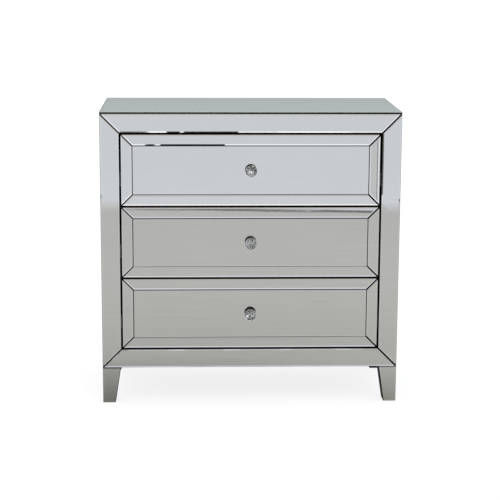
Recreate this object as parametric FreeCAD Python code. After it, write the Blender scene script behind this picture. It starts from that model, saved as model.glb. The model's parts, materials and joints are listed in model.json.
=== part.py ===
import FreeCAD, Part
import math
import os

# Mirrored chest of three inset drawers on four tapered legs, in millimetres.
# +Z is up, the front faces -Y, and the origin is on the floor under the middle of the bounding box.

os.makedirs("parts", exist_ok=True)
V = FreeCAD.Vector

# ---------------------------------------------------------------- driving dimensions

# Whole chest, over the glass
width = 800.0
depth = 380.0
height = 795.0
drawer_count = 3

# Glass and the joints between its sheets
glass = 4.0
seam = 0.6                  # between the frame strips and the sheets above and below them
frame_mitre = 0.9           # open mitre of the frame strips
drawer_joint = 0.6          # open joints of the drawer's sheets
bevel_width = 4.0
bevel_depth = 0.9
arris_width = 1.2           # ground edge of the plain sheets
arris_depth = 0.8
strip_width = 51.0          # frame strips
border_width = 29.7         # drawer strips
drawer_gap = 4.0            # round every drawer front

# Boards
carcass_board = 15.0
frame_board = 18.0
front_board = 18.0
back_panel = 4.0
housing = 5.0               # depth that the ends of boards are let into their neighbours
divider_depth = 40.0
divider_setback = 0.6       # behind the closed drawer fronts

# Legs
leg_height = 99.2
leg_depth = 50.0
leg_width = 49.0            # at the top
foot_width = 34.0
glide_radius = 15.0
glide_height = 1.0
bolt_radius = 4.0
bolt_length = 60.0
nut_radius = 7.5
nut_height = 6.5
nut_margin = 1.5

# Drawer boxes
box_side = 12.0
box_height = 150.0
box_rise = 13.0             # box above the lower edge of its front
box_rear_gap = 24.0         # from the back panel
box_bottom = 4.0
bottom_rise = 8.0           # bottom panel above the lower edge of the box
groove_depth = 6.0
groove_play = 0.25

# Ball-bearing runners
runner_length = 300.0
runner_travel = 220.0
runner_height = 35.0
runner_thickness = 12.7
runner_sheet = 1.2
runner_lip = 1.8
runner_setback = 2.0        # behind the face frame
runner_rise = 55.0          # centre line above the lower edge of the box
race = 4.3                  # between the two members' flanges
cage_sheet = 0.8
cage_play = 0.4
ball_play = 0.3
balls_per_row = 3
ball_sides = 8
ball_latitudes = (-67.5, -22.5, 22.5, 67.5)
packer_height = 40.0

# Knob
knob_sides = 14
knob_base_radius = 8.0
knob_base_height = 7.0
knob_base_rim = 1.5
knob_neck_radius = 6.0
knob_girdle_radius = 15.6
knob_girdle_height = 17.5
knob_girdle_band = 2.5      # the girdle's two rings of corners
knob_table_radius = 5.5
knob_projection = 30.0
knob_crown_rows = 3         # rows of facets in front of the girdle
knob_back_rows = 2          # and behind it
knob_screw_radius = 2.0
knob_screw_grip = 5.0
knob_screw_head = 4.5
knob_screw_head_height = 2.5

hole_play = 0.15            # round every screw and bolt

# ---------------------------------------------------------------- derived positions

half = width / 2
front = -(depth + knob_projection) / 2 + knob_projection
back = front + depth
carcass_half = half - glass
carcass_front = front + glass
carcass_back = back - back_panel
carcass_top = height - glass
carcass_inner = carcass_half - carcass_board
frame_back = carcass_front + frame_board

opening_half = half - strip_width
opening_low = leg_height + strip_width
opening_high = carcass_top - seam - strip_width
drawer_half = opening_half - drawer_gap
drawer_pitch = (opening_high - opening_low - drawer_gap) / drawer_count
drawer_height = drawer_pitch - drawer_gap
front_back = carcass_front + front_board

box_half = opening_half - runner_thickness
box_inner = box_half - box_side
box_back = carcass_back - box_rear_gap

clear_front = max(frame_back, front_back)
runner_front = clear_front + runner_setback
outer_half_height = runner_height / 2
inner_half_height = outer_half_height - runner_sheet - race
ball_radius = race / 2 - ball_play
ball_line = inner_half_height + race / 2
cage_web = runner_sheet + cage_play
cage_length = runner_length - runner_travel
inner_edge = cage_web + cage_sheet + 1.5 * cage_play
outer_edge = runner_thickness - runner_sheet - 2.5 * cage_play
ball_depth = (inner_edge + outer_edge) / 2

nodes = {}


# ---------------------------------------------------------------- helpers

def block(x, y, z):
    """Box between pairs of limits along each axis."""
    return Part.makeBox(x[1] - x[0], y[1] - y[0], z[1] - z[0], V(x[0], y[0], z[0]))


def other_side(shape):
    """The same piece on the other side of the chest."""
    return shape.mirror(V(0, 0, 0), V(1, 0, 0))


def both_sides(shape):
    return [shape, other_side(shape)]


def prism(profile, y):
    """Profile of (x, z) points drawn out between two y limits."""
    points = [V(px, y[0], pz) for px, pz in profile]
    return Part.Face(Part.makePolygon(points + points[:1])).extrude(V(0, y[1] - y[0], 0))


def inset(outline, distances):
    """Counter-clockwise convex outline with edge i moved inwards by distances[i]."""
    lines = []
    for i, (ax, ay) in enumerate(outline):
        bx, by = outline[(i + 1) % len(outline)]
        length = math.hypot(bx - ax, by - ay)
        nx, ny = -(by - ay) / length, (bx - ax) / length
        lines.append((nx, ny, nx * ax + ny * ay + distances[i]))
    corners = []
    for i, (nx, ny, c) in enumerate(lines):
        mx, my, d = lines[i - 1]
        det = mx * ny - my * nx
        corners.append(((d * ny - c * my) / det, (mx * c - nx * d) / det))
    return corners


def sheet(outline, ground_width, ground_depth):
    """Glass sheet with its back on the local XY plane and a ground bevel round its face."""
    shoulder = glass - ground_depth
    face = inset(outline, [ground_width] * len(outline))
    wires = []
    for points, level in ((outline, 0), (outline, shoulder), (face, glass)):
        ring = [V(u, v, level) for u, v in points]
        wires.append(Part.makePolygon(ring + ring[:1]))
    plate = Part.Face(wires[0]).extrude(V(0, 0, shoulder))
    return plate.fuse(Part.makeLoft(wires[1:], True, True)).removeSplitter()


def on_front(shape, x=0, z=0, y=carcass_front):
    """Turn a local shape so that its +Z looks out of the front."""
    turned = shape.copy()
    turned.Placement = FreeCAD.Placement(V(x, y, z), FreeCAD.Rotation(V(1, 0, 0), 90))
    return turned


def on_right(shape):
    """Turn a local shape, drawn in Y and Z, so that its +Z looks out of the right side."""
    turned = shape.copy()
    turned.Placement = FreeCAD.Placement(V(carcass_half, 0, 0), FreeCAD.Rotation(V(1, 1, 1), 120))
    return turned


def mitred_frame(x, z, strip, mitre):
    """Four bevelled strips round a rectangle, in the order bottom, right, top, left."""
    outer = [(x[0], z[0]), (x[1], z[0]), (x[1], z[1]), (x[0], z[1])]
    inner = inset(outer, [strip] * 4)
    strips = []
    for i in range(4):
        j = (i + 1) % 4
        outline = inset([outer[i], outer[j], inner[j], inner[i]], [0, mitre / 2, 0, mitre / 2])
        strips.append(on_front(sheet(outline, bevel_width, bevel_depth)))
    return strips


def cut_from(names, tools):
    """Cut a list of shapes out of the named nodes."""
    for name in names:
        nodes[name] = nodes[name].cut(Part.makeCompound(tools))


def group(*shapes):
    return Part.makeCompound(list(shapes))


# ---------------------------------------------------------------- carcass boards

whole = (-carcass_half, carcass_half)
body_depth = (carcass_front, carcass_back)
between = (leg_height + carcass_board, carcass_top - carcass_board)

housed = (between[0] - housing, between[1] + housing)
side_board = block((carcass_inner, carcass_half), (frame_back, carcass_back), housed)
nodes["bottom_board"] = block(whole, body_depth, (leg_height, between[0]))
nodes["top_board"] = block(whole, body_depth, (between[1], carcass_top))
cut_from(["bottom_board", "top_board"], both_sides(side_board))
nodes["back_board"] = block(whole, (carcass_back, back), (leg_height, carcass_top))

frame_depth = (carcass_front, frame_back)
stile = block((opening_half, carcass_half), frame_depth, between)
nodes["face_frame_stiles"] = group(*both_sides(stile))
nodes["face_frame_rails"] = group(
    block((-opening_half, opening_half), frame_depth, (between[0], opening_low)),
    block((-opening_half, opening_half), frame_depth, (opening_high, between[1])))

dividers = []
for i in range(1, drawer_count):
    middle = opening_low + i * drawer_pitch + drawer_gap / 2
    start = clear_front + divider_setback
    dividers.append(block((-carcass_inner - housing, carcass_inner + housing), (start, start + divider_depth),
                          (middle - carcass_board / 2, middle + carcass_board / 2)))
nodes["divider_rails"] = group(*dividers)
nodes["right_side_board"] = side_board
nodes["left_side_board"] = other_side(side_board)
cut_from(["right_side_board", "left_side_board"], dividers)

# ---------------------------------------------------------------- mirror glass of the carcass

top_outline = [(-half, front), (half, front), (half, back), (-half, back)]
nodes["top_mirror"] = sheet(top_outline, arris_width, arris_depth).translated(V(0, 0, carcass_top))

side_top = carcass_top - seam
side_outline = [(carcass_front, leg_height), (back, leg_height), (back, side_top), (carcass_front, side_top)]
nodes["right_side_mirror"] = on_right(sheet(side_outline, bevel_width, bevel_depth))
nodes["left_side_mirror"] = other_side(nodes["right_side_mirror"])

strips = mitred_frame((-half, half), (leg_height, side_top), strip_width, frame_mitre)
for name, strip in zip(("bottom", "right", "top", "left"), strips):
    nodes["front_mirror_" + name] = strip

# ---------------------------------------------------------------- legs

glass_top = leg_height - seam


def leg_outline(outer, top):
    """Right leg from the front: upright on its outer side, narrowed on its inner side towards the foot."""
    foot_x = half - foot_width
    taper = (leg_width - foot_width) * (top - glide_height) / (leg_height - glide_height)
    return [(foot_x, glide_height), (outer, glide_height), (outer, top), (foot_x - taper, top)]


front_leg = prism(leg_outline(carcass_half, leg_height), (carcass_front, front + leg_depth))
rear_leg = prism(leg_outline(carcass_half, leg_height), (back - leg_depth, back))
nodes["right_front_leg"] = front_leg
nodes["left_front_leg"] = other_side(front_leg)
nodes["rear_legs"] = group(*both_sides(rear_leg))

leg_sides = []
for y0, y1 in ((carcass_front, front + leg_depth), (back - leg_depth, back)):
    outline = [(y0, glide_height), (y1, glide_height), (y1, glass_top), (y0, glass_top)]
    leg_sides.append(on_right(sheet(outline, bevel_width, bevel_depth)))
leg_front = on_front(sheet(leg_outline(half, glass_top), bevel_width, bevel_depth))
nodes["front_leg_mirrors"] = group(*both_sides(leg_front), *both_sides(leg_sides[0]))
nodes["rear_leg_mirrors"] = group(*both_sides(leg_sides[1]))

glide_x = half - foot_width / 2
bolt_x = carcass_inner - nut_radius - nut_margin
bolt_inset = leg_depth - (frame_back - front) - nut_radius - nut_margin     # from the leg's inner face
glides = []
bolts = []
bolt_holes = []
for leg_middle, bolt_y in ((front + leg_depth / 2, front + leg_depth - bolt_inset),
                           (back - leg_depth / 2, back - leg_depth + bolt_inset)):
    glides += both_sides(Part.makeCylinder(glide_radius, glide_height, V(glide_x, leg_middle, 0)))
    foot = V(bolt_x, bolt_y, leg_height + carcass_board - bolt_length)
    shank = Part.makeCylinder(bolt_radius, bolt_length + nut_height, foot)
    corners = [(nut_radius * math.cos(math.radians(60 * k)), nut_radius * math.sin(math.radians(60 * k)))
               for k in range(6)]
    ring = [V(bolt_x + u, bolt_y + v, leg_height + carcass_board) for u, v in corners]
    nut = Part.Face(Part.makePolygon(ring + ring[:1])).extrude(V(0, 0, nut_height))
    bolts += both_sides(shank.fuse(nut).removeSplitter())
    hole_foot = foot - V(0, 0, hole_play)
    hole = Part.makeCylinder(bolt_radius + hole_play, bolt_length + hole_play, hole_foot)
    bolt_holes += both_sides(hole)
nodes["foot_glides"] = group(*glides)
nodes["leg_bolts"] = group(*bolts)
cut_from(["bottom_board", "right_front_leg", "left_front_leg", "rear_legs"], bolt_holes)

# ---------------------------------------------------------------- runners

drawer_lows = [opening_low + drawer_gap + i * drawer_pitch for i in range(drawer_count)]
runner_lines = [low + box_rise + runner_rise for low in drawer_lows]
runner_depth = (runner_front, runner_front + runner_length)


def channel(web, tip, flange, lip, out):
    """Closed profile of a lipped channel as (distance from the packer, height) points.

    web is the pair of distances of the web, tip the edge of the flanges, flange and lip the outer
    half heights of the flanges and lips, and out the side that the lips turn to.
    """
    open_way = 1 if tip > web[0] else -1
    outer, inner = (web[0], web[1]) if open_way > 0 else (web[1], web[0])
    under = flange - runner_sheet
    turn = tip - open_way * runner_sheet
    if out:
        half_profile = [(outer, flange), (turn, flange), (turn, lip), (tip, lip), (tip, under), (inner, under)]
    else:
        half_profile = [(outer, flange), (tip, flange), (tip, lip), (turn, lip), (turn, under), (inner, under)]
    return half_profile + [(u, -v) for u, v in reversed(half_profile)]


def at_runner(profile, line, y):
    """Profile drawn out beside the right-hand side of a drawer."""
    return prism([(opening_half - u, line + v) for u, v in profile], y)


cabinet_profile = channel((0, runner_sheet), outer_edge, outer_half_height,
                          outer_half_height - runner_sheet - runner_lip, False)
drawer_profile = channel((runner_thickness - runner_sheet, runner_thickness), inner_edge,
                         inner_half_height, inner_half_height + runner_sheet, True)
cage_plate = (ball_line - cage_sheet / 2, ball_line + cage_sheet / 2)
cage_tip = outer_edge - runner_sheet - cage_play
cage_half = [(cage_web, cage_plate[1]), (cage_tip, cage_plate[1]), (cage_tip, cage_plate[0]),
             (cage_web + cage_sheet, cage_plate[0])]
cage_profile = cage_half + [(u, -v) for u, v in reversed(cage_half)]

packers = []
cabinet_runners = []
for line in runner_lines:
    packers += both_sides(block((opening_half, carcass_inner), (frame_back, carcass_back),
                                (line - packer_height / 2, line + packer_height / 2)))
    cabinet_runners += both_sides(at_runner(cabinet_profile, line, runner_depth))
nodes["runner_packers"] = group(*packers)
nodes["cabinet_runners"] = group(*cabinet_runners)

# ---------------------------------------------------------------- knob, along local +Z


def faceted(rings, sides):
    """Faceted solid: polygons up the axis, each turned by half a side from the one below."""
    levels = []
    for k, (level, radius) in enumerate(rings):
        ring = []
        for i in range(sides):
            angle = 2 * math.pi * (i + k / 2) / sides
            ring.append(V(radius * math.cos(angle), radius * math.sin(angle), level))
        levels.append(ring)
    triangles = []
    for lower, upper in zip(levels, levels[1:]):
        for i in range(sides):
            j = (i + 1) % sides
            triangles.append([lower[i], lower[j], upper[i]])
            triangles.append([upper[i], lower[j], upper[j]])
    faces = [Part.Face(Part.makePolygon(t + t[:1])) for t in triangles]
    faces += [Part.Face(Part.makePolygon(end + end[:1])) for end in (levels[0], levels[-1])]
    return Part.Solid(Part.Shell(faces))


def rounded_rings(girdle_height, end_height, end_radius, rows):
    """Rings of corners along a quarter of an ellipse, from the girdle to a flat end."""
    rings = []
    for k in range(rows + 1):
        turn = math.pi / 2 * k / rows
        rings.append((girdle_height + (end_height - girdle_height) * math.sin(turn),
                      end_radius + (knob_girdle_radius - end_radius) * math.cos(turn)))
    return rings


knob_rings = rounded_rings(knob_girdle_height - knob_girdle_band / 2, knob_base_height, knob_neck_radius,
                           knob_back_rows)[::-1]
knob_rings += rounded_rings(knob_girdle_height + knob_girdle_band / 2, knob_projection, knob_table_radius,
                            knob_crown_rows)
knob_crystal = faceted(knob_rings, knob_sides)
base_profile = [(0, 0), (knob_base_radius, 0), (knob_base_radius, knob_base_rim),
                (knob_neck_radius, knob_base_height), (0, knob_base_height)]
base_ring = [V(r, 0, h) for r, h in base_profile]
knob_base = Part.Face(Part.makePolygon(base_ring + base_ring[:1])).revolve(V(0, 0, 0), V(0, 0, 1), 360)
screw_reach = front_board + glass + knob_screw_grip
knob_hole = Part.makeCylinder(knob_screw_radius + hole_play, screw_reach + hole_play,
                              V(0, 0, -front_board - glass))
knob_base = knob_base.cut(knob_hole)
knob_screw = Part.makeCylinder(knob_screw_radius, screw_reach, V(0, 0, -front_board - glass)).fuse(
    Part.makeCylinder(knob_screw_head, knob_screw_head_height,
                      V(0, 0, -front_board - glass - knob_screw_head_height)))
ball = faceted([(ball_radius * math.sin(math.radians(a)), ball_radius * math.cos(math.radians(a)))
                for a in ball_latitudes], ball_sides)

# ---------------------------------------------------------------- drawers

side_depth = (front_back - housing, box_back)
back_depth = (box_back - box_side, box_back)

for i, low in enumerate(drawer_lows):
    drawer = "drawer_%d_" % (drawer_count - i)
    high = low + drawer_height
    knob_z = (low + high) / 2
    box_low = low + box_rise
    box_high = box_low + box_height
    panel_low = box_low + bottom_rise
    panel_high = panel_low + box_bottom

    # Front: board, drilled centre sheet and four mitred strips
    front_panel = block((-drawer_half, drawer_half), (carcass_front, front_back), (low, high))
    hole = on_front(knob_hole, 0, knob_z, front)
    centre = inset([(-drawer_half, low), (drawer_half, low), (drawer_half, high), (-drawer_half, high)],
                   [border_width + drawer_joint] * 4)
    nodes[drawer + "centre_mirror"] = on_front(sheet(centre, arris_width, arris_depth)).cut(hole)
    nodes[drawer + "border_mirrors"] = group(*mitred_frame((-drawer_half, drawer_half), (low, high),
                                                           border_width, drawer_joint))

    # Box: the sides are housed in the front and the back in the sides, the bottom lies in grooves
    panel = block((-box_inner - groove_depth, box_inner + groove_depth),
                  (front_back - groove_depth, box_back), (panel_low, panel_high))
    groove = block((-box_inner - groove_depth - groove_play, box_inner + groove_depth + groove_play),
                   (front_back - groove_depth - groove_play, box_back),
                   (panel_low - groove_play, panel_high + groove_play))
    side = block((box_inner, box_half), side_depth, (box_low, box_high))
    rear = block((-box_inner - housing, box_inner + housing), back_depth, (panel_high + groove_play, box_high))
    right = side.cut(group(groove, rear))
    nodes[drawer + "front_board"] = front_panel.cut(group(hole, groove, *both_sides(side)))
    nodes[drawer + "right_side"] = right
    nodes[drawer + "left_side"] = other_side(right)
    nodes[drawer + "back"] = rear
    nodes[drawer + "bottom"] = panel

    # Knob, with its screw from inside the drawer
    nodes[drawer + "knob_base"] = on_front(knob_base, 0, knob_z, front)
    nodes[drawer + "knob_crystal"] = on_front(knob_crystal, 0, knob_z, front)
    nodes[drawer + "knob_screw"] = on_front(knob_screw, 0, knob_z, front)

    # Drawer members of the runners, and the cages halfway along them
    line = runner_lines[i]
    nodes[drawer + "runners"] = group(*both_sides(at_runner(drawer_profile, line, runner_depth)))
    cage_front = runner_front + runner_travel / 2
    cage = at_runner(cage_profile, line, (cage_front, cage_front + cage_length))
    for k in range(balls_per_row):
        y = cage_front + cage_length * (k + 0.5) / balls_per_row
        for z in (line - ball_line, line + ball_line):
            cage = cage.fuse(ball.translated(V(opening_half - ball_depth, y, z)))
    nodes[drawer + "ball_cages"] = group(*both_sides(cage))

# ---------------------------------------------------------------- export

for name, shape in nodes.items():
    shape.exportStep("parts/" + name + ".step")
print(len(nodes), "nodes")
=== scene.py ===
import bmesh
import bpy
import json
import math
import random
from mathutils import Matrix, Vector


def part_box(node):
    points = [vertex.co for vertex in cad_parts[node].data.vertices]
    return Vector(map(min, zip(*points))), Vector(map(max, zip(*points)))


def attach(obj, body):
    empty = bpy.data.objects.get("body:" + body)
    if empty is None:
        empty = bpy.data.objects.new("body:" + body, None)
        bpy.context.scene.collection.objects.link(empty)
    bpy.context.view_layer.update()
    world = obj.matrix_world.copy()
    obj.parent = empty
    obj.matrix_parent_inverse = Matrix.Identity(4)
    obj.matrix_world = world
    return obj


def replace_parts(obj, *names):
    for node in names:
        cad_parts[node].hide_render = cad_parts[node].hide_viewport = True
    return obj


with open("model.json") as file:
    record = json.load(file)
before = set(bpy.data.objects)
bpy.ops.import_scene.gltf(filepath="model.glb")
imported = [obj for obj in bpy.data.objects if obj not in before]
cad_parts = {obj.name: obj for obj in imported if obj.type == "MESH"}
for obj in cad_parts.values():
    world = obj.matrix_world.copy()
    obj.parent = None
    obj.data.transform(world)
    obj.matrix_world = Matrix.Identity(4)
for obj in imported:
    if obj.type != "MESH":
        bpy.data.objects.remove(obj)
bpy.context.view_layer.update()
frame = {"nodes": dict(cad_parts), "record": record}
nodes = frame["nodes"]
record = frame["record"]
body_of = {node: body for body, held in record["behaviour"]["bodies"].items() for node in held}

X, Y, Z = 0, 1, 2
AXES = {"front": (0, -1, 0), "left": (-1, 0, 0), "right": (1, 0, 0), "top": (0, 0, 1)}
DRAWERS = ("drawer_1", "drawer_2", "drawer_3")
WELD = 1e-6                 # corners nearer to each other than this are joined
FLAT = math.radians(1)      # faces that meet at less than this are one
TOUCH = 1e-5                # places nearer to each other than this are the same
ASLANT = 1e-3               # an edge that runs further than this both ways is aslant

# Mirror sheets, in metres and radians
GAP_ARRIS = 0.0009          # black painted edge where a sheet stands at the gap round a drawer
OUTER_ARRIS = 0.0010        # the same on the outside of the chest's front
OTHER_ARRIS = {             # and where either of them was painted wider or narrower
    "drawer_1_border_mirrors right": 0.0020,
    "front_leg_mirrors left": 0.0030,
    "front_leg_mirrors right": 0.0006,
}
MITRE_ARRIS = (0.0015, 0.0019)         # the same on the frame's mitred ends, left and right
FINE_MITRE_ARRIS = (0.0014, 0.0019)    # and on those of the drawers' strips
JOINT_ARRIS = 0.0006        # grey ground edge where two sheets meet
CENTRE_ARRIS = 0.0005       # the same outside the silvered lower arris of a drawer's centre sheet
TOP_RIM = 0.0012            # dark rim of the top's silvering, beside its ground edge
FACE_COSINE = 0.93          # a sheet's face and bevels look nearer to its axis than this, its edges don't
ARRIS_COSINE = 0.5          # and a ground arris looks nearer to it than this
ARRIS_SLOPE = 0.3           # an arris that faces down or forward does so by more than this
BEVEL_SLOPE = 0.1           # and a bevel by more than this
SHARP = math.radians(60)    # two faces of a sheet meet at more than this along its edge
ARRIS_SHARP = math.radians(50)         # or at more than this along an edge with an arris
SILVER = (0.612, 0.618, 0.630)
SMUDGED = 0.975             # smudges darken the silver to this share
BEVEL_SHINE = 1.08          # bevels are brighter than a face by this factor
BEVEL_COSINES = (0.98, 0.995)          # cosine to the axis: a bevel's is under these, a face's over them
PRISM = 0.52                # glass over silver bends light against the bevel's slope by this much
SHEET_LEAN = 0.0005         # sheets stand out of true by up to this
LEANS = {                   # and these face right, lean back, and lean back more with each metre to the right
    "front_mirror_left": (0.0, 0.0025, 0.0),
    "front_mirror_right": (0.0, 0.0040, 0.0),
    "drawer_1_centre_mirror": (0.0, 0.0105, 0.0),
    "drawer_1_border_mirrors": (0.0, 0.0105, 0.0),
    "drawer_1_border_mirrors upper": (0.0, 0.0, 0.0),
    "drawer_1_border_mirrors right": (0.03, 0.0105, 0.0),
    "drawer_2_border_mirrors upper": (0.0, 0.0113, 0.0049),
}
UNDER_BEVEL_LEANS = {       # the bevel along the lower edge of these leans back by this much more
    "front_mirror_bottom lower": 0.0122,
    "drawer_2_border_mirrors upper": -0.056,
}


# ---------------------------------------------------------------- node materials

class Shader:
    """A material with a Principled BSDF and short calls for the nodes that feed it."""

    def __init__(self, name):
        self.material = bpy.data.materials.new(name)
        self.material.use_nodes = True
        self.tree = self.material.node_tree
        self.bsdf = self.tree.nodes["Principled BSDF"]
        self.out = self.tree.nodes["Material Output"]

    def node(self, kind, inputs=None, **settings):
        """New node; its inputs are given by name or number, as values or as sockets to link."""
        made = self.tree.nodes.new("ShaderNode" + kind)
        for key, value in settings.items():
            setattr(made, key, value)
        for key, value in (inputs or {}).items():
            self.feed(made.inputs[key], value)
        return made

    def feed(self, socket, value):
        if isinstance(value, bpy.types.NodeSocket):
            self.tree.links.new(value, socket)
        elif socket.type == "RGBA":
            socket.default_value = (*value[:3], 1)
        else:
            socket.default_value = value

    def set(self, **values):
        """Feeds the Principled BSDF's inputs, such as base_color."""
        for key, value in values.items():
            self.feed(self.bsdf.inputs[key.replace("_", " ").title().replace("Ior", "IOR")], value)

    def coords(self, scale=(1, 1, 1)):
        place = self.node("TexCoord").outputs["Object"]
        return self.node("Mapping", {"Vector": place, "Scale": scale}).outputs["Vector"]

    def noise(self, scale, detail=4.0, roughness=0.55, stretch=(1, 1, 1)):
        return self.node("TexNoise", {"Vector": self.coords(stretch), "Scale": scale, "Detail": detail,
                                      "Roughness": roughness}).outputs["Fac"]

    def ramp(self, fac, low, high, start=0.3, end=0.7):
        """fac from start to end becomes a number or colour from low to high."""
        if isinstance(low, (int, float)):
            return self.node("MapRange", {"Value": fac, "From Min": start, "From Max": end,
                                          "To Min": low, "To Max": high}).outputs["Result"]
        return self.stops(fac, [(start, low), (end, high)])

    def stops(self, fac, colours):
        """fac picks a colour from (place, colour) pairs."""
        ramp = self.node("ValToRGB", {"Fac": fac})
        elements = ramp.color_ramp.elements
        while len(elements) < len(colours):
            elements.new(0.5)
        for stop, (place, colour) in zip(elements, colours):
            stop.position = place
            stop.color = (*colour, 1)
        return ramp.outputs["Color"]

    def math(self, operation, a, b=0.0, c=0.0):
        return self.node("Math", {0: a, 1: b, 2: c}, operation=operation).outputs[0]

    def vector(self, operation, a, b=(0, 0, 0)):
        """Vector maths; b is a number where operation is SCALE."""
        second = "Scale" if operation == "SCALE" else 1
        made = self.node("VectorMath", {0: a, second: b}, operation=operation)
        return made.outputs["Value" if operation == "DOT_PRODUCT" else "Vector"]

    def bump(self, height, distance, strength=1.0):
        inputs = {"Height": height, "Distance": distance, "Strength": strength}
        return self.node("Bump", inputs).outputs["Normal"]

    def position(self):
        """Sockets for x, y and z."""
        place = self.node("NewGeometry").outputs["Position"]
        return self.node("SeparateXYZ", {0: place}).outputs[:]


def mirror(name, axis):
    """Silvered glass that faces along axis. Its bevels bend light as a wedge of glass over silver does,
    so what they reflect leans against their slope, and they are brighter, because the glass is thin there."""
    s = Shader(name)
    smudge = s.noise(5.0, 6.0, 0.62)
    streaks = s.noise(3.0, 3.0, 0.5, (14, 14, 1.2))
    soft = s.math("MULTIPLY", s.ramp(smudge, 0.0, 1.0, 0.48, 0.72), s.ramp(streaks, 0.35, 1.0))
    waves = s.math("MULTIPLY_ADD", s.noise(9.0, 1.0, 0.4), 0.16, s.noise(2.4, 1.0, 0.4))
    ripple = s.bump(waves, 0.0004)
    facing = s.vector("DOT_PRODUCT", ripple, axis)
    wedge = s.vector("SCALE", s.vector("SUBTRACT", ripple, s.vector("SCALE", axis, facing)), -PRISM)
    lean = s.node("Attribute", attribute_name="lean").outputs["Vector"]
    turned = s.vector("ADD", s.vector("ADD", wedge, axis), lean)
    dim = tuple(c * SMUDGED for c in SILVER)
    shine = s.ramp(facing, BEVEL_SHINE, 1.0, *BEVEL_COSINES)
    colour = s.vector("SCALE", s.ramp(smudge, dim, SILVER), shine)
    s.set(base_color=colour, metallic=1.0, roughness=s.ramp(soft, 0.012, 0.055, 0.0, 1.0),
          normal=s.vector("NORMALIZE", turned))
    return s.material


def edge_paint(name, dark, light, roughness, gloss):
    """Dark paint with a grain, such as the paint that seals a mirror's silvering along its ground edges."""
    s = Shader(name)
    grain = s.noise(180.0, 3.0)
    s.set(base_color=s.ramp(grain, dark, light), roughness=s.ramp(grain, roughness, roughness * 1.6),
          specular_ior_level=gloss, normal=s.bump(grain, 0.0001, 0.3))
    return s.material


def ground_arris():
    """Ground edge of a plain sheet: pale and a little frosted."""
    s = Shader("ground_arris")
    grain = s.noise(320.0, 3.0)
    s.set(base_color=s.ramp(grain, (0.80, 0.85, 0.85), (0.90, 0.95, 0.95)), metallic=0.6,
          roughness=s.ramp(grain, 0.18, 0.34))
    return s.material


def black_lacquer():
    """Sprayed black on fibreboard: fine orange peel, dust and rubbed patches."""
    s = Shader("black_lacquer")
    peel = s.noise(260.0, 2.0)
    rub = s.noise(9.0, 5.0, 0.6)
    s.set(base_color=s.ramp(rub, (0.003, 0.003, 0.0032), (0.009, 0.0088, 0.0086)), specular_ior_level=0.3,
          roughness=s.ramp(rub, 0.32, 0.48), normal=s.bump(peel, 0.00012, 0.35))
    return s.material


def board(name, dark, light, grain_scale, roughness, bump=0.00015):
    """Fibreboard, laminate, paper or cloth with fine fibres and slow changes of tone."""
    s = Shader(name)
    fibre = s.noise(grain_scale, 6.0, 0.7, (1, 3.5, 1))
    cloud = s.noise(4.0, 3.0)
    mix = s.math("MULTIPLY_ADD", cloud, 0.45, s.math("MULTIPLY", fibre, 0.55))
    s.set(base_color=s.ramp(mix, dark, light, 0.35, 0.66),
          roughness=s.ramp(fibre, roughness - 0.08, roughness + 0.08), normal=s.bump(fibre, bump, 0.5))
    return s.material


def metal(name, colour, roughness, lines_scale=60.0, stretch=(1, 0.025, 1)):
    """Plated or bright metal, with faint drawing lines and a cloudy film."""
    s = Shader(name)
    lines = s.noise(lines_scale, 3.0, 0.5, stretch)
    cloud = s.noise(30.0, 4.0, 0.6)
    dim = tuple(c * 0.84 for c in colour)
    s.set(base_color=s.ramp(cloud, dim, colour), metallic=1.0,
          roughness=s.ramp(lines, roughness * 0.75, roughness * 1.35), normal=s.bump(lines, 0.00004, 0.25))
    return s.material


def crystal():
    """Lead crystal: clear and polished, a little dust on the facets."""
    s = Shader("crystal")
    dust = s.noise(120.0, 5.0, 0.6)
    s.set(base_color=s.ramp(dust, (0.95, 0.965, 0.965), (0.99, 1.0, 1.0)),
          roughness=s.ramp(dust, 0.0, 0.02), ior=1.545, transmission_weight=1.0)
    return s.material


def felt():
    """Grey-black felt with a soft nap."""
    s = Shader("felt")
    nap = s.noise(900.0, 5.0, 0.7)
    s.set(base_color=s.ramp(nap, (0.018, 0.017, 0.016), (0.05, 0.047, 0.044)), roughness=0.95,
          normal=s.bump(nap, 0.0004, 0.6), sheen_weight=0.3)
    return s.material


mirrors = {side: mirror("mirror_" + side, axis) for side, axis in AXES.items()}
glass_edge = edge_paint("glass_edge", (0.0015, 0.0035, 0.0032), (0.004, 0.007, 0.0065), 0.60, 0.0)
black_edge = edge_paint("black_edge", (0.002, 0.002, 0.002), (0.004, 0.004, 0.004), 0.45, 0.08)
grey_edge = edge_paint("grey_edge", (0.008, 0.009, 0.009), (0.020, 0.022, 0.021), 0.45, 0.3)
# Pale ground arris, used only along the top's front edge, where its paleness is a painted highlight.
pale_arris = ground_arris()
# Foil in three shades for the crystals' back facets: painted reflections that stand in for the bright and
# dark flashes of cut crystal.
foils = [metal("foil_" + name, (shade, shade, shade * 1.02), 0.16, 400.0)
         for name, shade in (("bright", 0.74), ("grey", 0.26), ("tarnished", 0.03))]
foil_paint = edge_paint("foil_paint", (0.010, 0.011, 0.012), (0.026, 0.028, 0.030), 0.40, 0.4)
# Dark paint for the screws' cross recesses: painted shade in the hollow.
screw_slot = edge_paint("screw_slot", (0.010, 0.010, 0.010), (0.020, 0.020, 0.020), 0.50, 0.3)

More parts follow.
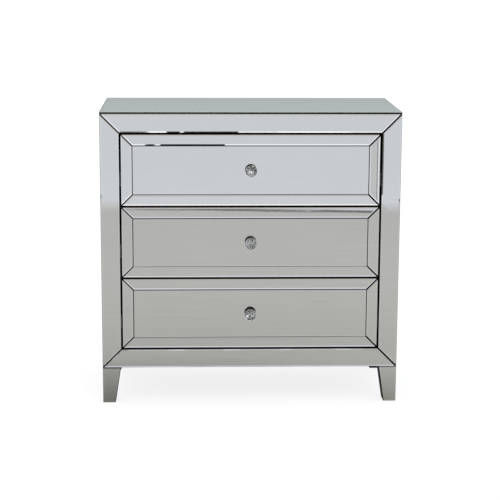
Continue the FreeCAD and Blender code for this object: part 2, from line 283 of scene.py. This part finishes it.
FINISHES = {
    "black_lacquer": black_lacquer(),
    "drawer_box": board("drawer_box", (0.020, 0.020, 0.021), (0.040, 0.039, 0.038), 90.0, 0.5),
    "drawer_bottom": board("drawer_bottom", (0.030, 0.030, 0.032), (0.060, 0.060, 0.062), 420.0, 0.85,
                           bump=0.0003),
    "back_panel": board("back_panel", (0.050, 0.036, 0.026), (0.105, 0.080, 0.058), 150.0, 0.6),
    "raw_board": board("raw_board", (0.30, 0.215, 0.13), (0.50, 0.38, 0.25), 210.0, 0.75),
    "runner_steel": metal("runner_steel", (0.56, 0.57, 0.60), 0.26),
    "cage_steel": metal("cage_steel", (0.50, 0.50, 0.50), 0.18),
    "fastener_steel": metal("fastener_steel", (0.52, 0.52, 0.50), 0.28, 120.0, (1, 1, 1)),
    "knob_chrome": metal("chrome", (0.66, 0.67, 0.68), 0.05, 70.0, (1, 1, 1)),
    "crystal": crystal(),
    "glide_felt": felt(),
}


# ---------------------------------------------------------------- pieces

def piece(name, work, body, materials):
    """New object from a bmesh, riding on a body."""
    mesh = bpy.data.meshes.new(name)
    work.to_mesh(mesh)
    work.free()
    for material in materials:
        mesh.materials.append(material)
    made = bpy.data.objects.new(name, mesh)
    bpy.context.collection.objects.link(made)
    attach(made, body)
    return made


def solid_of(node):
    """A node's mesh as joined, flat faces."""
    work = bmesh.new()
    work.from_mesh(nodes[node].data)
    bmesh.ops.remove_doubles(work, verts=work.verts, dist=WELD)
    bmesh.ops.dissolve_limit(work, angle_limit=FLAT, verts=work.verts, edges=work.edges)
    return work


def sheets_of(work):
    """Splits a mesh into one bmesh for each sheet of glass, in the order of its faces. A set of faces has
    another order each run, so none decides which sheet comes first."""
    work.faces.index_update()
    left = list(work.faces)
    sheets = []
    while left:
        group, edge = set(), {left[0]}
        while edge:
            group |= edge
            edge = {n for f in edge for e in f.edges for n in e.link_faces} - group
        left = [f for f in left if f not in group]
        kept = {f.index for f in group}
        sheet = work.copy()
        bmesh.ops.delete(sheet, geom=[f for f in sheet.faces if f.index not in kept], context="FACES")
        sheets.append(sheet)
    work.free()
    return sheets


def box_of(work):
    """Lowest and highest corners of a mesh."""
    points = [v.co for v in work.verts]
    low = Vector([min(p[i] for p in points) for i in range(3)])
    high = Vector([max(p[i] for p in points) for i in range(3)])
    return low, high


def side_of(low, high):
    """Side of the chest that a sheet lies on, from its thinnest extent."""
    size = high - low
    thin = min(range(3), key=lambda i: size[i])
    if thin == X:
        return "right" if low.x + high.x > 0 else "left"
    return "front" if thin == Y else "top"


# ---------------------------------------------------------------- mirror sheets

def gap_planes(name):
    """Where a node's sheets stand at the gap round a drawer, as (axis, place)."""
    low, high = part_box(name)
    if name.endswith("border_mirrors"):
        return [(X, low.x), (X, high.x), (Z, low.z), (Z, high.z)]
    return {"front_mirror_top": [(Z, low.z)], "front_mirror_bottom": [(Z, high.z)],
            "front_mirror_left": [(X, high.x)], "front_mirror_right": [(X, low.x)]}.get(name, [])


def outer_planes(name):
    """Where a node's sheets end at the outline of the chest's front or of its legs, as (axis, place)."""
    low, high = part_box(name)
    return {"front_mirror_top": [(Z, high.z)], "front_mirror_bottom": [(Z, low.z)],
            "front_mirror_left": [(X, low.x)], "front_mirror_right": [(X, high.x)],
            "front_leg_mirrors": [(Z, high.z)]}.get(name, [])


def on_planes(edge, planes):
    """Whether an edge lies in one of the planes, which are given as (axis, place)."""
    return any(all(abs(v.co[axis] - place) < TOUCH for v in edge.verts) for axis, place in planes)


def mitred(edge):
    """Whether an edge runs aslant across the front."""
    run = edge.verts[1].co - edge.verts[0].co
    return abs(run.x) > ASLANT and abs(run.z) > ASLANT


def seam(sheet, axis, chosen, width, material, sharp=SHARP):
    """Chamfers the outer edges of a sheet for which chosen(edge) holds, in a material of their own."""
    depth = max(v.co.dot(axis) for v in sheet.verts) + min(v.co.dot(axis) for v in sheet.verts)
    edges = [e for e in sheet.edges
             if len(e.link_faces) == 2 and e.calc_face_angle() > sharp
             and abs((e.verts[1].co - e.verts[0].co).dot(axis)) < TOUCH
             and (e.verts[0].co + e.verts[1].co).dot(axis) > depth and chosen(e)]
    made = bmesh.ops.bevel(sheet, geom=edges, offset=width, segments=1, affect="EDGES", clamp_overlap=True)
    for face in made["faces"]:
        face.material_index = material


def darken_rim(sheet, axis, material):
    """Dark rim inside the edge of a sheet's face, but not along the front."""
    face = max(sheet.faces, key=lambda f: f.calc_area() if f.normal.dot(axis) > FACE_COSINE else 0)
    front = min(v.co.y for v in face.verts)
    bmesh.ops.inset_individual(sheet, faces=[face], thickness=TOP_RIM)
    for strip in {near for edge in face.edges for near in edge.link_faces} - {face}:
        if max(v.co.y for v in strip.verts) > front + 2 * TOP_RIM:
            strip.material_index = material


def place_of(name, low, high):
    """A node's name and which one of its strips a sheet is."""
    middle = sum(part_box(name), Vector()) / 2
    if high.x - low.x > high.z - low.z:
        return name + (" upper" if low.z > middle.z else " lower")
    return name + (" right" if low.x > middle.x else " left")


def lean_of(name, place, chance):
    """How far a sheet leans, and how that grows along x."""
    if place in LEANS or name in LEANS:
        right, back, twist = LEANS.get(place) or LEANS[name]
        return Vector((right, 0, back)), twist
    return Vector([chance.uniform(-SHEET_LEAN, SHEET_LEAN) for _ in range(3)]), 0.0


EDGES = [glass_edge, black_edge, grey_edge, pale_arris]
PLAIN, BLACK, GREY, PALE = range(4)


def grind(sheet, name, place, side):
    """Ground and painted edges of a sheet."""
    axis = Vector(AXES[side])
    bottom = [(Z, box_of(sheet)[0].z)]
    if side == "front":
        gaps, outside = gap_planes(name), outer_planes(name)
        mitres = FINE_MITRE_ARRIS if name.startswith("drawer") else MITRE_ARRIS
        for hand, width in zip((-1, 1), mitres):
            seam(sheet, axis, lambda e: mitred(e) and e.verts[0].co.x * hand > 0, width, BLACK)
        seam(sheet, axis, lambda e: on_planes(e, gaps), OTHER_ARRIS.get(place, GAP_ARRIS), BLACK)
        seam(sheet, axis, lambda e: on_planes(e, outside), OTHER_ARRIS.get(place, OUTER_ARRIS), BLACK)
    if name.endswith("centre_mirror"):
        seam(sheet, axis, lambda e: on_planes(e, bottom), CENTRE_ARRIS, GREY, ARRIS_SHARP)
    seam(sheet, axis, lambda e: True, JOINT_ARRIS, GREY)
    if side == "top":
        darken_rim(sheet, axis, GREY)


def silver(sheet, name, side, material):
    """Silvers a sheet's face and bevels, and the lower arris of a drawer's centre sheet. The top's ground
    arris is pale along the front, a painted highlight, and grey elsewhere."""
    for face in sheet.faces:
        cosine = face.normal.dot(Vector(AXES[side]))
        if face.material_index == PLAIN and cosine > FACE_COSINE:
            face.material_index = material
        elif name == "top_mirror" and ARRIS_COSINE < cosine <= FACE_COSINE:
            # Painted highlight: the top's forward-facing arris is pale, its other arrises grey.
            face.material_index = PALE if face.normal.y < -ARRIS_SLOPE else GREY
        elif name.endswith("centre_mirror") and cosine > ARRIS_COSINE and face.normal.z < -ARRIS_SLOPE:
            face.material_index = material


def tilt(sheet, place, lean, twist):
    """Writes how a sheet leans, and its lower bevel more, where its mirror material reads it."""
    layer = sheet.loops.layers.float_vector.new("lean")
    for face in sheet.faces:
        back = UNDER_BEVEL_LEANS.get(place, 0.0) if face.normal.z < -BEVEL_SLOPE else 0.0
        for loop in face.loops:
            loop[layer] = lean + Vector((0, 0, twist * loop.vert.co.x + back))


def glaze(part):
    """Detailed sheets in place of a node's plain ones."""
    name = part["node"]
    chance = random.Random(name)
    materials = EDGES[:]
    joined = bmesh.new()
    for sheet in sheets_of(solid_of(name)):
        low, high = box_of(sheet)
        side, place = side_of(low, high), place_of(name, low, high)
        if mirrors[side] not in materials:
            materials.append(mirrors[side])
        grind(sheet, name, place, side)
        silver(sheet, name, side, materials.index(mirrors[side]))
        tilt(sheet, place, *lean_of(name, place, chance))
        mesh = bpy.data.meshes.new("sheet")
        sheet.to_mesh(mesh)
        sheet.free()
        joined.from_mesh(mesh)
        bpy.data.meshes.remove(mesh)
    made = piece(name + "_glass", joined, body_of[name], materials)
    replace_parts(made, name)


for part in record["subparts"]:
    if part["material_slot"] == "mirror_glass":
        glaze(part)
    else:
        obj = nodes[part["node"]]
        obj.data.materials.clear()
        obj.data.materials.append(FINISHES[part["material_slot"]])


# ---------------------------------------------------------------- knobs

KNOB_SIDES = 14             # diamond facets in each row round a crystal
CROWN_ROWS = 4              # rows of corners in front of the girdle
BACK_ROWS = 3               # and behind it
GIRDLE = (0.402, 0.511)     # the girdle's edges, as shares of the crystal's length from its back
NECK = (0.0109, 0.385)      # rim of its back: share of the length, share of the girdle's radius
TABLE = (0.985, 0.352)      # rim of its table, the same way
TIPS = (0.0, 1.0)           # middles of its back and of its table, as shares of the length
BACKWARDS = 0.2             # facets that face back by more than this are silvered and painted
PAINT_AWAY = 0.0002         # one side of the dark paint lies this far out from the silvered facets
PAINT_COAT = 0.0001         # and it is this thick


def quarter(start, end, rows):
    """Rings as (height, radius) along a quarter of an ellipse, from the girdle to an end."""
    height, radius = end
    turns = [math.pi / 2 * k / rows for k in range(rows + 1)]
    return [(start + (height - start) * math.sin(t), radius + (1 - radius) * math.cos(t)) for t in turns]


def diamond_cut(rings, sides, tips):
    """Bmesh of diamond facets: each ring of corners stands half a step round from the last, and triangles
    close both ends."""
    work = bmesh.new()
    corners = []
    for i, (height, radius) in enumerate(rings):
        turns = [math.tau * (j + i % 2 / 2) / sides for j in range(sides)]
        corners.append([work.verts.new((radius * math.cos(t), radius * math.sin(t), height)) for t in turns])

    def at(i, j):
        return corners[i][j % sides]

    last = len(rings) - 1
    for j in range(sides):
        for i in range(1, last):
            right = j + (i - 1) % 2
            work.faces.new((at(i - 1, j), at(i, right), at(i + 1, j), at(i, right - 1)))
        work.faces.new((at(0, j), at(0, j + 1), at(1, j)))
        work.faces.new((at(last, j), at(last, j + 1), at(last - 1, j + last % 2)))
    for i, tip in zip((0, last), tips):
        middle = work.verts.new((0, 0, tip))
        for j in range(sides):
            work.faces.new((at(i, j), at(i, j + 1), middle))
    bmesh.ops.recalc_face_normals(work, faces=work.faces)
    return work


def knob(drawer):
    """Crystal cut finer than the plain solid. Its back facets are silvered with foil in three shades, picked
    at random as painted reflections of bright and dark things, and dark paint lies over them."""
    node = drawer + "_knob_crystal"
    low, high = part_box(node)
    size = high - low
    middle = (low + high) / 2
    rings = quarter(GIRDLE[0], NECK, BACK_ROWS)[::-1] + quarter(GIRDLE[1], TABLE, CROWN_ROWS)
    cut = diamond_cut(rings, KNOB_SIDES, TIPS)
    for vert in cut.verts:
        across, up, height = vert.co
        vert.co = (middle.x + across * size.x / 2, high.y - height * size.y, middle.z + up * size.z / 2)
    bmesh.ops.recalc_face_normals(cut, faces=cut.faces)
    cut.normal_update()
    paint = cut.copy()
    chance = random.Random(node)
    # Each back facet takes a foil shade at random: painted bright and dark reflections.
    for face in cut.faces:
        if face.normal.y > BACKWARDS:
            face.material_index = 1 + chance.randrange(len(foils))
    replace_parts(piece(node + "_cut", cut, drawer, [FINISHES["crystal"]] + foils), node)

    bare = [f for f in paint.faces if f.normal.y < BACKWARDS]
    bmesh.ops.delete(paint, geom=bare, context="FACES")
    paint.normal_update()
    for vert in paint.verts:
        vert.co += vert.normal * PAINT_AWAY
    bmesh.ops.solidify(paint, geom=paint.faces[:], thickness=PAINT_COAT)
    piece(drawer + "_knob_paint", paint, drawer, [foil_paint])


for drawer in DRAWERS:
    knob(drawer)


# ---------------------------------------------------------------- screws of the back panel

HEAD_RADIUS = 0.0034        # of a screw's flat head
HEAD_SIDES = 20             # of the polygon that stands for its round rim
HEAD_TOP = 0.88             # the flat top of a head, as a share of its radius
HEAD_HEIGHT = 0.00018       # it stands out of its surface by this much
CROSS_ARM = 0.0019          # the cross in it reaches this far
CROSS_HALF = 0.00035        # each of its arms is twice this wide
CROSS_FLOOR = 0.2           # and its floor lies at this share of the head's height
BACK_EDGE = 0.009           # the screws lie this far inside the edge of the back panel
BACK_SCREWS = 5             # along each edge


def circle(radius, sides):
    """Corners of a regular polygon."""
    turns = [math.tau * i / sides for i in range(sides)]
    return [(radius * math.cos(t), radius * math.sin(t)) for t in turns]


def cross(half, arm):
    """Corners of a cross, in order round it."""
    return [(half, half), (half, arm), (-half, arm), (-half, half),
            (-arm, half), (-arm, -half), (-half, -half), (-half, -arm),
            (half, -arm), (half, -half), (arm, -half), (arm, half)]


def pairs(ring):
    """Neighbours in a closed ring."""
    return list(zip(ring, ring[1:] + ring[:1]))


def screw_heads(name, places, out, body):
    """Flat heads with a cross recess, in the surface at each place and facing out."""
    out = Vector(out)
    facing = out.to_track_quat("Z", "Y").to_matrix()
    chance = random.Random(name)
    work = bmesh.new()
    for place in places:
        turn = facing @ Matrix.Rotation(chance.uniform(0, math.pi), 3, "Z")

        def ring(points, height):
            return [work.verts.new(Vector(place) + turn @ Vector((x, y, height))) for x, y in points]

        rim = ring(circle(HEAD_RADIUS, HEAD_SIDES), 0)
        top = ring(circle(HEAD_TOP * HEAD_RADIUS, HEAD_SIDES), HEAD_HEIGHT)
        mouth = ring(cross(CROSS_HALF, CROSS_ARM), HEAD_HEIGHT)
        floor = ring(cross(CROSS_HALF, CROSS_ARM), HEAD_HEIGHT * CROSS_FLOOR)
        # The recess's walls and floor take the second, dark material: painted shade.
        for outer, inner, material in ((rim, top, 0), (mouth, floor, 1)):
            for (a, b), (c, d) in zip(pairs(outer), pairs(inner)):
                work.faces.new((a, b, d, c)).material_index = material
        work.faces.new(floor).material_index = 1
        edges = [work.edges.get(pair) for pair in pairs(top) + pairs(mouth)]
        bmesh.ops.triangle_fill(work, use_beauty=True, use_dissolve=False, edges=edges, normal=out)
    piece(name, work, body, [FINISHES["fastener_steel"], screw_slot])


def spread(first, last, count):
    """Even places from first to last."""
    return [first + (last - first) * i / (count - 1) for i in range(count)]


back_low, back_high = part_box("back_board")
back_x = spread(back_low.x + BACK_EDGE, back_high.x - BACK_EDGE, BACK_SCREWS)
back_z = spread(back_low.z + BACK_EDGE, back_high.z - BACK_EDGE, BACK_SCREWS)
screw_heads("back_panel_screws",
            [(x, back_high.y, z) for x in back_x for z in (back_z[0], back_z[-1])]
            + [(x, back_high.y, z) for z in back_z[1:-1] for x in (back_x[0], back_x[-1])],
            (0, 1, 0), "carcass")


# ---------------------------------------------------------------- floor

CHEST_HALF = (0.40, 0.19)   # the chest's half width and half depth, from which the floor's colours start
FLOOR_HALF = 30             # half the floor's width
FLOOR_REACH = 4.0           # the floor's colours change within this distance from the chest
FLOOR_FADE = (3.11, 3.47)   # from here to there the grey floor turns into the white of the studio
FAR_GREY = (0.68, 0.665, 0.62)
# The darker colours close to the chest are painted shade: the chest's shadow on the floor that the mirrors
# show.
FLOOR_GREYS_AND_SHADE = [             # distance from the chest, colour
    (0.0, (0.37, 0.37, 0.31)),
    (0.16, (0.46, 0.455, 0.40)),
    (0.44, (0.61, 0.60, 0.54)),
    (1.40, (0.655, 0.64, 0.59)),
    (FLOOR_FADE[0], FAR_GREY),
    (FLOOR_FADE[1], (0.93, 0.945, 0.955)),
]
# Painted light: close to the chest the floor is painted lighter towards the right.
SIDE_LIGHT = 0.55           # close to the chest the floor gets lighter to the right by this much a metre
SIDE_LIGHT_FADE = (0.05, 0.55)         # which fades out between these distances from it
STREAKS = (0.968, 1.032)    # long faint streaks along x multiply its colour by these
SHADED_WHITE = 0.22         # the camera sees a white floor: this much of its white takes shadow
EVEN_WHITE = 0.83           # and this much is its own light


def stage_floor():
    """Pale floor. Away from the camera's own rays it is the warm grey floor that the mirrors show: darker
    close to the chest with painted shade, lighter to the right there with painted light, and ending in the
    white of the studio a few metres out."""
    s = Shader("floor")
    x, y, z = s.position()
    dx, dy = (s.math("MAXIMUM", s.math("SUBTRACT", s.math("ABSOLUTE", place), half), 0.0)
              for place, half in zip((x, y), CHEST_HALF))
    away = s.math("SQRT", s.math("ADD", s.math("MULTIPLY", dx, dx), s.math("MULTIPLY", dy, dy)))
    # Painted shade: the floor's colour darkens close to the chest, where the chest's shadow would fall.
    grey = s.stops(s.math("DIVIDE", away, FLOOR_REACH),
                   [(distance / FLOOR_REACH, colour) for distance, colour in FLOOR_GREYS_AND_SHADE])
    near = s.ramp(away, 1.0, 0.0, *SIDE_LIGHT_FADE)
    # Painted light: near the chest the floor's colour is raised towards the right.
    painted_side_light = s.math("MULTIPLY_ADD", s.math("MULTIPLY", x, near), SIDE_LIGHT, 1.0)
    streaks = s.ramp(s.noise(24.0, 5.0, 0.65, (0.12, 1, 1)), *STREAKS)
    grey = s.vector("SCALE", grey, s.math("MULTIPLY", painted_side_light, streaks))
    hidden = s.node("BsdfDiffuse", {"Color": grey}).outputs[0]
    shaded = s.node("BsdfDiffuse", {"Color": (SHADED_WHITE,) * 3}).outputs[0]
    even = s.node("Emission", {"Color": (1, 1, 1), "Strength": EVEN_WHITE}).outputs[0]
    shown = s.node("AddShader", {0: shaded, 1: even}).outputs[0]
    seen = s.node("LightPath").outputs["Is Camera Ray"]
    s.feed(s.out.inputs["Surface"], s.node("MixShader", {0: seen, 1: hidden, 2: shown}).outputs[0])
    mesh = bpy.data.meshes.new("floor")
    work = bmesh.new()
    bmesh.ops.create_grid(work, x_segments=8, y_segments=8, size=FLOOR_HALF)
    work.to_mesh(mesh)
    work.free()
    mesh.materials.append(s.material)
    floor = bpy.data.objects.new("floor", mesh)
    bpy.context.collection.objects.link(floor)


# ---------------------------------------------------------------- light and camera

STUDIO_WHITE = (1.015, 1.035, 1.06)                # what all rays but the camera's see around the stage
CAMERA_PLACE = (-0.1492, -4.14356, 1.22291)
CAMERA_TURN = (2.13, -11.3713, 0.2762)             # yaw, pitch and roll in degrees
FOCAL_PIXELS = 1510.34      # focal length, in pixels of an image that is PHOTO_PIXELS wide
PHOTO_PIXELS = 500
SENSOR = 36.0               # width of the camera's sensor in millimetres


def studio_world():
    """White to the camera, and a touch brighter and cooler than that to everything else."""
    world = bpy.data.worlds.new("studio")
    bpy.context.scene.world = world
    world.use_nodes = True
    tree = world.node_tree
    back = tree.nodes["Background"]
    path = tree.nodes.new("ShaderNodeLightPath")
    mix = tree.nodes.new("ShaderNodeMix")
    mix.data_type = "RGBA"
    mix.inputs["A"].default_value = (*STUDIO_WHITE, 1)
    mix.inputs["B"].default_value = (1, 1, 1, 1)
    tree.links.new(path.outputs["Is Camera Ray"], mix.inputs["Factor"])
    tree.links.new(mix.outputs["Result"], back.inputs["Color"])
    back.inputs["Strength"].default_value = 1.0


def lamp(name, place, target, size, power):
    """Rectangular lamp that looks at a target."""
    data = bpy.data.lights.new(name, "AREA")
    data.shape = "RECTANGLE"
    data.size, data.size_y = size
    data.energy = power
    made = bpy.data.objects.new(name, data)
    bpy.context.collection.objects.link(made)
    made.location = place
    made.rotation_mode = "QUATERNION"
    made.rotation_quaternion = (Vector(target) - Vector(place)).to_track_quat("-Z", "Y")


def camera():
    """The photograph's view."""
    data = bpy.data.cameras.new("camera")
    data.sensor_width = SENSOR
    data.lens = FOCAL_PIXELS * SENSOR / PHOTO_PIXELS
    yaw, pitch, roll = (math.radians(a) for a in CAMERA_TURN)
    ahead = Vector((math.sin(yaw) * math.cos(pitch), math.cos(yaw) * math.cos(pitch), math.sin(pitch)))
    level = Vector((math.cos(yaw), -math.sin(yaw), 0))
    over = level.cross(ahead)
    right = math.cos(roll) * level + math.sin(roll) * over
    up = math.cos(roll) * over - math.sin(roll) * level
    made = bpy.data.objects.new("camera", data)
    bpy.context.collection.objects.link(made)
    turn = Matrix((right, up, -ahead)).transposed().to_4x4()
    made.matrix_world = Matrix.Translation(CAMERA_PLACE) @ turn
    bpy.context.scene.camera = made


# ---------------------------------------------------------------- what the mirrors and crystals show

def card(name, x, y, z, material):
    """Rectangle that only reflections and refractions show: upright where x or y is a single place, lying
    where z is."""
    (x0, x1), (y0, y1), (z0, z1) = (s if isinstance(s, tuple) else (s, s) for s in (x, y, z))
    second = (x0, y1, z0) if x0 == x1 else (x1, y0, z0)
    fourth = (x0, y0, z1) if x0 == x1 else (x0, y1, z1)
    mesh = bpy.data.meshes.new(name)
    mesh.from_pydata([(x0, y0, z0), second, (x1, y1, z1), fourth], [], [(0, 1, 2, 3)])
    mesh.materials.append(material)
    made = bpy.data.objects.new(name, mesh)
    bpy.context.collection.objects.link(made)
    made.visible_camera = False
    made.visible_diffuse = False
    made.visible_shadow = False


def glow(name, colour, upper=None, span=(0, 1)):
    """Light of one colour, or of one that turns into the upper colour over a span of heights."""
    s = Shader(name)
    if upper:
        colour = s.ramp(s.ramp(s.position()[Z], 0.0, 1.0, *span), colour, upper, 0.0, 1.0)
    s.set(base_color=(0, 0, 0), roughness=1.0, emission_color=colour, emission_strength=1.0)
    return s.material


WALL_Y = 4.2                # the wall behind the chest
BEHIND = -4.2               # dark and bright things stand here behind the camera, at two heights
UPPER = (1.145, 1.32)
LOWER = (1.05, 1.14)
FAR_WALL_Y = -5.3           # and a bright wall further off
SHADE_Y = -0.55             # in front of the chest
ROOM_HALF = 4.5             # the side walls stand this far from the middle
ROOM_HEIGHT = 3.0
PAPER_X = (-0.522, 0.784)   # grey paper lies across this width
PAPER_END = -3.66           # and as far as here, from where the floor turns white
PAPER_EDGE = (-0.50, PAPER_X[1])       # its dark end is this wide
SCREEN_Z = (0.0, 0.45)      # height of the screen and of the stand beside it
SCREEN_FRONT = PAPER_END + 0.01        # the cable hangs here, just before the screen
NEAR_LIGHT_Y = (-0.466, -0.432)        # a strip of light on the floor, with brighter patches along x
PATCHES = ((-0.2275, -0.179), (-0.066, -0.018), (0.0985, 0.1325), (0.260, 0.3055))

dark_cloth = board("tripod_cloth", (0.02, 0.022, 0.022), (0.06, 0.065, 0.065), 6.0, 0.8)
brown_cloth = board("stand_cloth", (0.10, 0.09, 0.07), (0.26, 0.24, 0.21), 6.0, 0.8)
bright = glow("panel", (1.7, 1.7, 1.7))
far_wall = glow("far_wall", (1.35, 1.36, 1.37))
dim_room = glow("dim_room", (0.36, 0.37, 0.37), (0.46, 0.47, 0.48), (0, ROOM_HEIGHT))
paper = board("paper", FAR_GREY, FAR_GREY, 30.0, 0.9)
paper_end = board("paper_end", (0.23, 0.22, 0.20), (0.36, 0.35, 0.32), 30.0, 0.9)
light_patch = glow("light_patch", (0.92, 0.91, 0.88))


def back_wall():
    """What the top shows behind the chest."""
    grey = glow("wall", (0.478, 0.518, 0.518), (0.545, 0.585, 0.585), (1.16, 1.29))
    card("wall", (-4, 4), WALL_Y, (0, 8), grey)


def camera_side():
    """What the bevels show behind the camera."""
    for name, x, z, material in (
            ("stand", (-0.55, -0.405), UPPER, brown_cloth),
            ("panel_left", (-0.40, -0.303), UPPER, bright),
            ("tripod_side", (-0.302, -0.23), UPPER, dark_cloth),
            ("tripod", (-0.21, 0.08), UPPER, dark_cloth),
            ("panel_right", (0.294, 0.677), UPPER, bright),
            ("stand_foot", (-0.413, -0.361), LOWER, dark_cloth),
            ("tripod_foot", (-0.334, 0.012), LOWER, dark_cloth)):
        card(name, x, BEHIND, z, material)
    card("far_wall", (-3.5, 3.5), FAR_WALL_Y, (0.57, 2.6), far_wall)


def shade():
    """White above the front edge, so that the top shows none of the dark things to whoever stands behind the
    chest."""
    card("shade", (-0.9, 0.9), SHADE_Y, (0.805, 1.0), glow("shade", (1.0, 1.01, 1.03)))


def room():
    """What the crystals show as well: the room's dim ceiling and side walls."""
    card("ceiling", (-6, 6), (-7, 2), ROOM_HEIGHT, dim_room)
    for side, x in (("left", -ROOM_HALF), ("right", ROOM_HALF)):
        card("wall_" + side, x, (-7, 0), (0.0, ROOM_HEIGHT), dim_room)


def floor_paper():
    """Grey paper on the floor, whose far edge the middle drawer shows as a dark line."""
    card("paper", PAPER_X, (PAPER_END, -CHEST_HALF[Y] - FLOOR_FADE[0]), 0.001, paper)
    card("paper_end", PAPER_EDGE, PAPER_END, (0.0, 0.014), paper_end)


def screen():
    """What the top drawer's right strip and the bevel beyond it show: a pale screen, a cable on it and a
    dark stand."""
    for name, x, y, material in (
            ("screen", (0.925, 1.01), PAPER_END, glow("screen", (0.82, 0.825, 0.82))),
            ("cable", (0.9722, 0.9748), SCREEN_FRONT, dark_cloth),
            ("cable_shine", (0.9785, 0.9835), SCREEN_FRONT, far_wall),
            ("side_stand", (1.50, 1.72), PAPER_END, brown_cloth)):
        card(name, x, y, SCREEN_Z, material)


def near_light():
    """Light on the floor close to the chest, in patches, which the bevel under the drawers shows."""
    card("near_light", (-0.345, 0.345), NEAR_LIGHT_Y, 0.001, glow("near_light", (0.71, 0.70, 0.66)))
    for number, x in enumerate(PATCHES, 1):
        card("light_patch_%d" % number, x, NEAR_LIGHT_Y, 0.002, light_patch)


stage_floor()
studio_world()
lamp("key", place=(0.6, -2.2, 2.8), target=(0, 0, 0.4), size=(0.6, 0.6), power=12.0)
back_wall()
camera_side()
shade()
room()
floor_paper()
screen()
near_light()
camera()

bpy.context.scene.view_settings.view_transform = "Standard"
